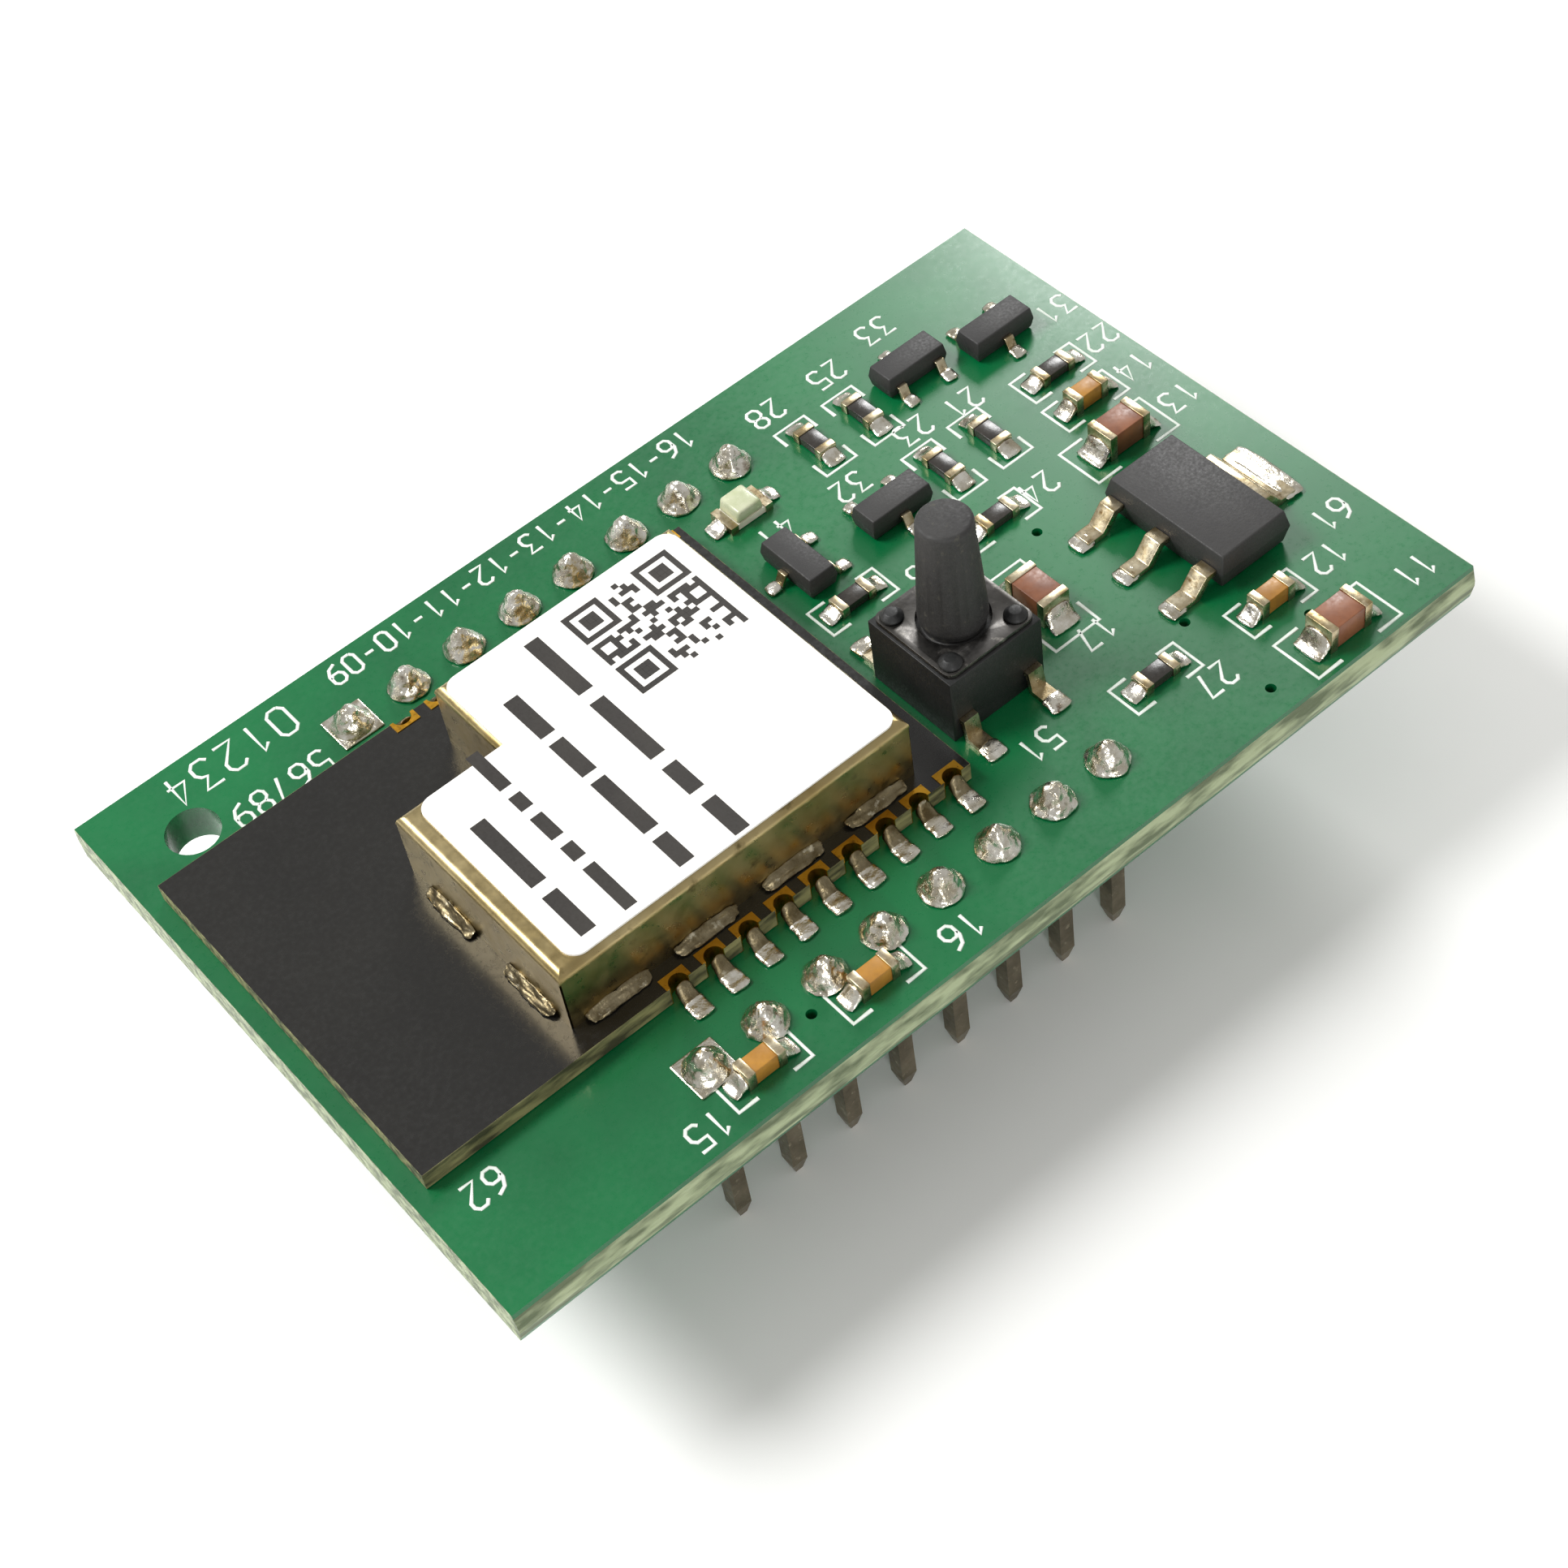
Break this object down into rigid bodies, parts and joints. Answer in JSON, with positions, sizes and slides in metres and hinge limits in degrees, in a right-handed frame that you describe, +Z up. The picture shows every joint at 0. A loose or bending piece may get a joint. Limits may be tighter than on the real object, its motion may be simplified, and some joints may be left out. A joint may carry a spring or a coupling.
{
  "type": "wireless module board",
  "caption": "Castellated radio module under a folded shield can, on a carrier board with a tact switch, a regulator, chip parts and plug-in pin rows.",
  "frame": {"origin": "middle of the bounding box, at the tips of the header pins", "axes": "+X along the board from the radio module's end towards the regulator, +Y across the board away from the nearer header row in the picture, +Z up out of the component side"},
  "size_m": [0.0428, 0.0266, 0.0171],
  "materials": {
    "board_green": "green lacquer on glass fibre",
    "board_black": "black lacquer on glass fibre",
    "gold": "gold plating",
    "can_metal": "warm nickel plate",
    "label_paper": "coated label",
    "chip_black": "moulded",
    "steel_can": "satin",
    "ceramic_tan": "fired",
    "ceramic_brown": "fired",
    "solder": "bright solder",
    "switch_black": "moulded",
    "switch_plate": "dark plate",
    "tinned": "tinned",
    "moulded_black": "moulded",
    "resistor_top": "glazed",
    "lamp_white": "moulded",
    "lens": "clear resin",
    "strip_black": "moulded",
    "pin_metal": "tinned brass"
  },
  "bodies": {
    "board": {"carrier_board": "board_green", "module_board": "board_black", "module_castellations": "gold", "shield_can": "can_metal", "can_label": "label_paper", "radio_chip": "chip_black", "memory_chip": "chip_black", "module_crystal": "steel_can", "module_passives": "ceramic_tan", "can_solder": "solder", "castellation_solder": "solder", "switch_base": "switch_black", "switch_cover": "switch_plate", "switch_dome": "steel_can", "switch_terminals": "tinned", "regulator_body": "moulded_black", "regulator_leads": "tinned", "regulator_tab": "tinned", "capacitor_1": "ceramic_brown", "capacitor_2": "ceramic_tan", "capacitor_3": "ceramic_brown", "capacitor_4": "ceramic_tan", "capacitor_5": "ceramic_tan", "capacitor_6": "ceramic_tan", "capacitor_7": "ceramic_brown", "capacitor_ends": "tinned", "resistor_1": "resistor_top", "resistor_2": "resistor_top", "resistor_3": "resistor_top", "resistor_4": "resistor_top", "resistor_5": "resistor_top", "resistor_6": "resistor_top", "resistor_7": "resistor_top", "resistor_8": "resistor_top", "resistor_ends": "tinned", "transistor_1": "moulded_black", "transistor_2": "moulded_black", "transistor_3": "moulded_black", "transistor_4": "moulded_black", "transistor_leads": "tinned", "lamp_base": "lamp_white", "lamp_ends": "tinned", "lamp_lens": "lens", "header_strip_front": "strip_black", "header_strip_back": "strip_black", "header_pins_front": "pin_metal", "header_pins_back": "pin_metal", "header_solder_front": "solder", "header_solder_back": "solder", "chip_solder": "solder", "lead_solder": "solder"},
    "button": {"switch_plunger": "switch_black"}
  },
  "joints": [
    {"name": "button_press", "type": "slide", "parent": "board", "child": "button", "axis": [0, 0, 1], "range_m": [-0.00025, 0], "stiffness_N_per_m": 6400, "springref_m": 0.00002, "deforming": ["switch_dome"]}
  ]
}
